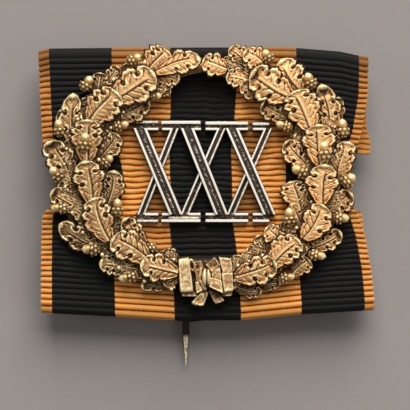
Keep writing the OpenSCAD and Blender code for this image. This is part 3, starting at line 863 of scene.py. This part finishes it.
# Numerals
# Thirty in plain strokes of cast silver, soldered together and to the posts. Each stroke is a
# channel with two bright rails, and its sunk floor has gone dark. The thick strokes lie over the thin.
numeral_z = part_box("numerals")[0].z
thick_top, thin_top, bar_top = 1.3 * mm, 1.05 * mm, 1.02 * mm
stroke_ends = (128.5, 214.5)
# Strokes: x at the top, x at the bottom, width
THICK = [(140.2, 176.1, 12.7), (187.3, 221.6, 12.6), (231.8, 269.2, 12.2)]
THIN = [(174.9, 141.2, 7.4), (221.6, 184.6, 7.8), (268, 230.6, 7.6)]
# Bars across the ends of the strokes: left end, right end, width of the outer rail at top and bottom,
# how far the upper one sits lower than the first, and wear of the two outer rails
BARS = [(136.5, 158.5, 2.2, 2.2, 0, 0.66, 0.64), (161.5, 200.5, 2.9, 2.6, 0, 0.92, 0.82),
        (205.5, 248, 2.9, 2.6, 0.7, 0.9, 0.88), (252.5, 269, 2.5, 2.4, 1.6, 0.9, 0.76)]
# Inner rails of the bars, from stroke to stroke: left ends and right ends, above and below
UPPER_RAILS = [(146.4, 158.5), (162.3, 171.2), (193.6, 201), (205.6, 217.7), (237.9, 248), (252.8, 264.4)]
LOWER_RAILS = [(144.9, 158.5), (162, 169.8), (188.5, 200.5), (205.6, 215.3), (234.4, 248), (252.6, 263)]
# Heights on the chart, from upper to lower: the bars' dark floors, and their inner rails
UPPER_FLOOR, LOWER_FLOOR = (120.6, 130.8), (212.4, 222.6)
UPPER_INNER, LOWER_INNER = (128.2, 130.4), (213.1, 215.4)
# Where the outer rails' outer edges are, and how far the dark foot of a stroke or bar shows beyond
# its rails, as a painted shadow round them
outer_edges = (121.3, 222)
shadow_rim, bar_shadow_rim = 0.6, 0.3
# Tops of the dark floors, and widths of the rails
thick_floor, thin_floor, bar_floor = 1.08 * mm, 0.4 * mm, 0.62 * mm
thick_rail, thin_rail = 2.4, 1.9
# Half width of the string of beads, and its cells across and along
string_half, string_cells = 1.3, (6, 130)
# The seam of solder along the foot of the middle bar: left, right, above and below
SEAM = (168.6, 199.6, 216.6, 218.8)


def patch_place(corners, a, b):
    """Places between four corners on the chart, at shares from left to right and from top to bottom."""
    (x0, y0), (x1, y1), (x2, y2), (x3, y3) = corners
    top_x, top_y = x0 + a * (x1 - x0), y0 + a * (y1 - y0)
    foot_x, foot_y = x3 + a * (x2 - x3), y3 + a * (y2 - y3)
    return at(top_x + b * (foot_x - top_x), top_y + b * (foot_y - top_y))


def bar(corners, top, wear, softness=0.05):
    """A straight bar of four corners on the chart, its edges softened as by polishing."""
    bpy.ops.object.select_all(action="DESELECT")
    bpy.ops.mesh.primitive_cube_add(size=2)
    made = bpy.context.object
    cube = points_of(made)
    x, y = patch_place(corners, (cube[:, 0] + 1) / 2, (1 - cube[:, 1]) / 2)
    set_points(made, np.stack([x, y, numeral_z + top * (cube[:, 2] + 1) / 2], axis=1))
    edit_all(made)
    bpy.ops.mesh.bevel(offset=softness * mm, segments=3, affect="EDGES")
    face_outwards(made)
    bpy.ops.object.shade_smooth_by_angle(angle=radians(60))
    mark(made, edge=wear, near=0.6, stand=0.8)
    return made


def relief(corners, cells, shape, base_z, rounding=8, grown=1.0):
    """A raised patch between four corners, its outline rounded and grown.

    Its shape gives the height in mm and the wear, at -1 to 1 across and down and at x and y in mm.
    """
    made = grid_of("patch", cells, 2)
    across, down = points_of(made)[:, 0], -points_of(made)[:, 1]
    reach = np.maximum(np.maximum(np.abs(across), np.abs(down)), 0.001)
    pull = (np.abs(across / reach) ** rounding + np.abs(down / reach) ** rounding) ** (1 / rounding)
    spread = 0.5 * grown / np.maximum(pull, 1)
    x, y = patch_place(corners, 0.5 + across * spread, 0.5 + down * spread)
    height, wear = shape(across, down, x / mm, y / mm)
    set_points(made, np.stack([x, y, base_z + height * mm], axis=1))
    # Its sides: resizing, share of the height, and wear
    middle = (x.mean(), y.mean(), base_z)
    steps = [(1.01, 0.85, 0.12), (0.96, 0.7, 0.45), (0.9, 0, 0.35)]
    close_below(made, [(size, size, share, middle) for size, share, _ in steps])
    count = (len(made.data.vertices) - len(wear)) // len(steps)
    store(made, "edge", np.concatenate([wear, np.repeat([step[2] for step in steps], count)]))
    bpy.ops.object.shade_smooth_by_angle(angle=radians(75))
    return made


def beaded(across, down, x, y):
    """The worn string of beads along the floor of a thick stroke."""
    bead = np.clip(np.cos(y * 15 + 2 * np.sin(y * 3.1) + 1.5 * across), 0, 1) * (1 - across ** 2)
    height = thick_floor / mm + 0.07 * (1 - across ** 2) + 0.1 * bead
    # They have kept most of their shine on the first stroke
    shine = (0.4 + 0.6 * smoothstep(-x, 2.5, 3.5)) * (0.6 + 0.4 * np.sin(y * 2.3))
    return height, 0.14 + 0.6 * shine * bead


def slanted(x_top, x_bottom, first, last):
    """Corners of a strip of a stroke, between two distances from its middle."""
    return [(x_top + first, stroke_ends[0]), (x_top + last, stroke_ends[0]),
            (x_bottom + last, stroke_ends[1]), (x_bottom + first, stroke_ends[1])]


def level(left, right, above, below):
    """Corners of a strip of a bar."""
    return [(left, above), (right, above), (right, below), (left, below)]


def stroke(x_top, x_bottom, width, rail, floor, tops, wears):
    """The dark floor of a stroke and its left and right rails."""
    half = width / 2
    rails = ((-half, rail - half), (half - rail, half))
    # The floor shows beyond the rails as a painted shadow
    made = [bar(slanted(x_top, x_bottom, -half - shadow_rim, half + shadow_rim), floor, 0.02, 0.1)]
    for k in (0, 1):
        made.append(bar(slanted(x_top, x_bottom, *rails[k]), tops[k], wears[k]))
    return made


parts = []
for row in THICK:
    parts += stroke(*row, thick_rail, thick_floor, (thick_top, thick_top), (0.86, 0.86))
    string = relief(slanted(*row[:2], -string_half, string_half), string_cells, beaded, numeral_z)
    mark(string, near=0.6, stand=0.6)
    parts.append(string)
for row in THIN:
    parts += stroke(*row, thin_rail, thin_floor, (thin_top, thin_top - 0.08 * mm), (0.8, 0.62))
for left, right, top_w, low_w, lower, top_wear, low_wear in BARS:
    for (above, below), sunk in ((UPPER_FLOOR, lower), (LOWER_FLOOR, 0)):
        # The floor shows beyond the bar's ends as a painted shadow
        floor = level(left - bar_shadow_rim, right + bar_shadow_rim, above + sunk, below)
        parts.append(bar(floor, bar_floor, 0.12, 0.1))
    above, below = outer_edges[0] + lower, outer_edges[1]
    parts.append(bar(level(left, right, above, above + top_w), bar_top, top_wear))
    parts.append(bar(level(left, right, below - low_w, below), bar_top, low_wear))
for rails, heights, wear in ((UPPER_RAILS, UPPER_INNER, 0.86), (LOWER_RAILS, LOWER_INNER, 0.88)):
    for left, right in rails:
        parts.append(bar(level(left, right, *heights), bar_top, wear))
parts.append(bar(level(*SEAM), bar_top - 0.12 * mm, 0.6, 0.1))
numerals = joined(parts, "roman_numerals")
silver = cast_metal("rubbed_silver", matte=srgb(220, 202, 174), bright=srgb(250, 241, 224),
                    dull=srgb(170, 146, 112), recess=srgb(44, 29, 15), rough=0.38, metal=0.25,
                    specked=0.9)
coat(numerals, silver)
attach(numerals, "root")
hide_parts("numerals")

# Bow
# A bow of gilt sheet that holds the two branches together at the bottom: flat bands at its ends,
# crumpled loops beside a knot of two beads, and two short tails. It is soldered on as one piece.
bow_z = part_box("bow")[0].z


def fold_shape(top, tilt, rims, dome, dent, crumple, tone):
    """The shape of one fold: its rims, a dome, a dent and crumples."""
    def shape(across, down, x, y):
        left, right, upper, lower = rims
        depth, dent_x, dent_y, reach = dent
        raised = left * bump(across, -0.76, 0.13) + right * bump(across, 0.76, 0.13)
        raised = np.maximum(raised, upper * bump(down, -0.78, 0.12) + lower * bump(down, 0.78, 0.12))
        wave = np.sin(5.3 * x + 2 * np.sin(3.1 * y)) * np.sin(4.6 * y + 2 * np.sin(3.9 * x))
        fine = np.sin(17 * x + 3 * np.sin(9 * y)) * np.sin(19 * y + 2 * np.sin(11 * x))
        sunk = depth * bump(np.hypot(across - dent_x, down - dent_y), 0, reach)
        edge_drop = 0.5 * np.maximum(np.abs(across), np.abs(down)) ** 14
        height = top + tilt[0] * across + tilt[1] * down + dome * (1 - across ** 2) * (1 - down ** 2)
        height = height + raised - sunk - edge_drop + crumple * (0.8 * wave + 0.1 * fine)
        wear = 0.5 + tone + 2.6 * raised - 1.1 * sunk + crumple * (2.4 * wave + 1.6 * fine)
        wear = wear - 0.9 * smoothstep(np.maximum(np.abs(across), np.abs(down)), 0.88, 0.98)
        return height, wear
    return shape


# Folds: corners from the upper left round to the lower left, and then height, slope across and down,
# rims at the left, right, upper and lower sides, dome, dent as depth, place across, place down and
# reach, crumples, and wear more than half, all heights in mm
flat = (0, 0, 0, 1)
FOLDS = [
    # What lies behind, and the hems under the two ends
    ([(182, 261), (228, 261), (229, 290), (184, 291)],
     0.85, (0, 0), (0, 0, 0, 0), 0, flat, 0.02, -0.24),
    ([(181, 288), (192, 287), (197.6, 295.6), (183, 295.6)],
     1.0, (0, 0), (0.06, 0, 0, 0.1), 0.08, flat, 0.06, -0.14),
    ([(219, 289), (232.4, 288), (231, 295), (222, 295.6)],
     1.0, (0, 0), (0, 0.06, 0, 0.1), 0.08, flat, 0.06, -0.12),
    # Left end: a flat band, the mouth of the loop, and the loop's upper, inner and lower folds
    ([(179, 260), (189, 258.6), (192.8, 289.6), (180.8, 290.2)],
     1.55, (-0.04, 0), (0.07, 0.12, 0.05, 0.05), 0.03, (0.3, 0.98, -0.1, 0.12), 0.03, 0.13),
    ([(193.4, 262), (201.4, 260.4), (203.4, 268.4), (194, 272)],
     1.45, (0.1, 0), (0.04, 0.1, 0.14, 0.1), 0.04, (0.22, -0.1, 0.1, 0.35), 0.05, -0.14),
    ([(195, 270), (198.4, 270), (199.6, 282), (196.6, 283)],
     1.4, (0, 0), (0, 0.09, 0, 0), 0.05, flat, 0.05, -0.12),
    ([(199.8, 267), (202.4, 267), (200.8, 280), (198.2, 280)],
     1.65, (0, 0), (0, 0, 0, 0), 0.1, flat, 0.02, 0.12),
    ([(198.2, 279.4), (200.6, 278), (206.6, 288), (204.2, 290)],
     1.65, (0, 0), (0, 0, 0, 0), 0.12, flat, 0.03, 0.12),
    ([(195.6, 281.6), (198.6, 281.6), (202.6, 289.4), (196.8, 292.6)],
     1.5, (0, 0), (0.09, 0.06, 0, 0.12), 0.1, flat, 0.05, 0.08),
    # Right end: the loop's upper fold, two folds beside the knot, and the band's two halves
    ([(205.8, 264.4), (214.4, 257), (219.8, 264.2), (212.2, 271.6)],
     1.75, (0.08, -0.06), (0.11, 0.11, 0.08, 0.11), -0.02, (0.14, 0, 0, 0.8), 0.04, -0.1),
    ([(211.4, 271.6), (219.6, 266.6), (221, 279.6), (212, 276.6)],
     1.62, (0.1, 0), (0.05, 0.08, 0.02, 0.02), 0.1, flat, 0.05, 0.02),
    ([(209.4, 276.6), (221, 280), (222.6, 292), (209.4, 286)],
     1.8, (0.08, 0.06), (0.03, 0.1, 0.06, 0.12), 0.14, flat, 0.05, 0),
    ([(218.8, 257.2), (230.5, 258.6), (232.3, 271.8), (222.8, 272)],
     1.5, (-0.05, 0), (0.17, 0.05, 0.06, 0.02), 0.03, (0.1, 0, -0.2, 0.5), 0.05, 0.1),
    ([(221.6, 272.8), (232.3, 272.2), (232.8, 289.4), (224, 291)],
     1.5, (-0.05, 0), (0.17, 0.05, 0.04, 0.06), 0.04, (0.1, 0, 0.2, 0.5), 0.05, 0.08),
]
# Tails: the same, but rounder
TAILS = [
    ([(203.6, 288.4), (208.8, 291.6), (203.4, 306), (190.4, 303)],
     1.15, (0, 0.04), (0.13, 0.13, 0, 0.15), -0.04, flat, 0.04, -0.06),
    ([(207.8, 288.2), (215, 290), (225, 300), (215, 303.8)],
     1.1, (0, 0.04), (0.16, 0.08, 0, 0.14), -0.04, (0.12, 0.1, 0.2, 0.8), 0.07, -0.06),
]
fold_cells = (32, 36)
pieces = []
for rows, rounding, grown in ((FOLDS, 9, 1.2), (TAILS, 5, 1.1)):
    for corners, *values in rows:
        pieces.append(relief(corners, fold_cells, fold_shape(*values), bow_z, rounding, grown))

# Hoops: the rolled edges of the left loop and of the left tail. Middle x and y, half width and half
# length, angle that it leans to the right by, height in mm, wear
HOOPS = [(192, 264.4, 2.4, 5.2, -12, 1.5, 0.62), (199, 298.6, 2.4, 6, 38, 1.15, 0.66)]
for mid_x, mid_y, half_w, half_l, lean, top, wear in HOOPS:
    bpy.ops.object.select_all(action="DESELECT")
    bpy.ops.mesh.primitive_torus_add(major_radius=1, minor_radius=0.24, major_segments=36,
                                     minor_segments=12)
    hoop = bpy.context.object
    sideways, along, upward = points_of(hoop).T
    px, py = turned(sideways * half_w * unit, along * half_l * unit, *at(mid_x, mid_y),
                    cos(radians(lean)), -sin(radians(lean)))
    set_points(hoop, np.stack([px, py, bow_z + (top + 0.8 * upward) * mm], axis=1))
    store(hoop, "edge", wear + 0.1 * along)
    bpy.ops.object.shade_smooth()
    pieces.append(hoop)

# Knot: a lens behind, and two slim beads on it that bend away from each other: middle x, middle y,
# half width, half length, top, height from its middle in mm, wear, bend
KNOT = [(206.2, 277, 5.2, 10.6, 2.1, 0.9, 0.05, 0), (205.1, 276.2, 2.3, 8.6, 2.45, 0.7, 0.8, -0.8),
        (208, 276.2, 1.9, 7.8, 2.45, 0.7, 0.76, 0.8)]
for mid_x, mid_y, half_w, half_l, top, thick, wear, bend in KNOT:
    bead, sideways, upward, along = ball_of("bead", 36, 24)
    x0, y0 = at(mid_x, mid_y)
    wide = sideways * half_w * (1 - 0.25 * along ** 2) + bend * (1 - along ** 2)
    set_points(bead, np.stack([x0 + wide * unit, y0 + along * half_l * unit,
                               bow_z + (top - thick + thick * upward) * mm], axis=1))
    # Each bead is painted a little brighter on top, as a highlight
    store(bead, "edge", wear + 0.1 * upward)
    face_outwards(bead)
    pieces.append(bead)
bow = joined(pieces, "ribbon_bow")
note_relief_and_shade([bow], bow_z, 2.0 * mm)
gilt_sheet = cast_metal("gilt_sheet", matte=srgb(198, 152, 102), bright=srgb(250, 228, 172),
                        dull=srgb(124, 92, 58), recess=srgb(46, 29, 13), rough=0.5, metal=0.45,
                        specked=0.45)
coat(bow, gilt_sheet)
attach(bow, "root")
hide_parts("bow")

# Surface, light and view
# A plain pale table top under soft studio light from above the badge's upper edge, seen from
# straight above.
bpy.ops.object.select_all(action="DESELECT")
bpy.ops.mesh.primitive_plane_add(size=1.2)
table_top = bpy.context.object
table_top.name = "table_top"
paper, tree, shader = new_finish("grey_paper")
place = Wire.node(tree, "ShaderNodeTexCoord", {}, {}, "Object")
feed(tree, shader, Roughness=0.85,
     Base_Color=colours(noise(place, 2500, 3), srgb(150, 143, 138), srgb(157, 150, 145)))
coat(table_top, paper)

world = bpy.data.worlds.new("studio")
bpy.context.scene.world = world
world.use_nodes = True
sky = world.node_tree.nodes["Background"]
sky.inputs["Color"].default_value = (0.78, 0.80, 0.84, 1)
sky.inputs["Strength"].default_value = 0.205

# Lights: name, place and size in metres, power in watts. All shine at the badge
LIGHTS = [
    ("soft_box", (0.13, 0.77, 0.65), 0.85, 14.9),
    ("side_box", (-0.34, 0.05, 0.26), 0.14, 0.1),
    ("fill_box", (0.3, -0.1, 0.3), 0.2, 0.15),
]
for name, where, size, power in LIGHTS:
    lamp = bpy.data.lights.new(name, "AREA")
    lamp.size = size
    lamp.energy = power
    holder = bpy.data.objects.new(name, lamp)
    bpy.context.scene.collection.objects.link(holder)
    holder.location = where
    holder.rotation_euler = (0, np.arccos(where[2] / hypot(*where)), np.arctan2(where[1], where[0]))

# The eye stands far above the middle of the view. At true_size_z the view is 410 units of the chart
# wide, so that there a unit is a pixel
eye = bpy.data.cameras.new("eye")
eye.lens = 180
eye.sensor_width = 36
eye.clip_start = 0.01
viewer = bpy.data.objects.new("eye", eye)
bpy.context.scene.collection.objects.link(viewer)
view_w = 410 * unit
view_x, view_y, true_size_z = -0.136 * mm, 0.272 * mm, 5 * mm
viewer.location = (view_x, view_y, true_size_z + view_w * eye.lens / eye.sensor_width)
bpy.context.scene.view_settings.view_transform = "Standard"
bpy.context.scene.camera = viewer
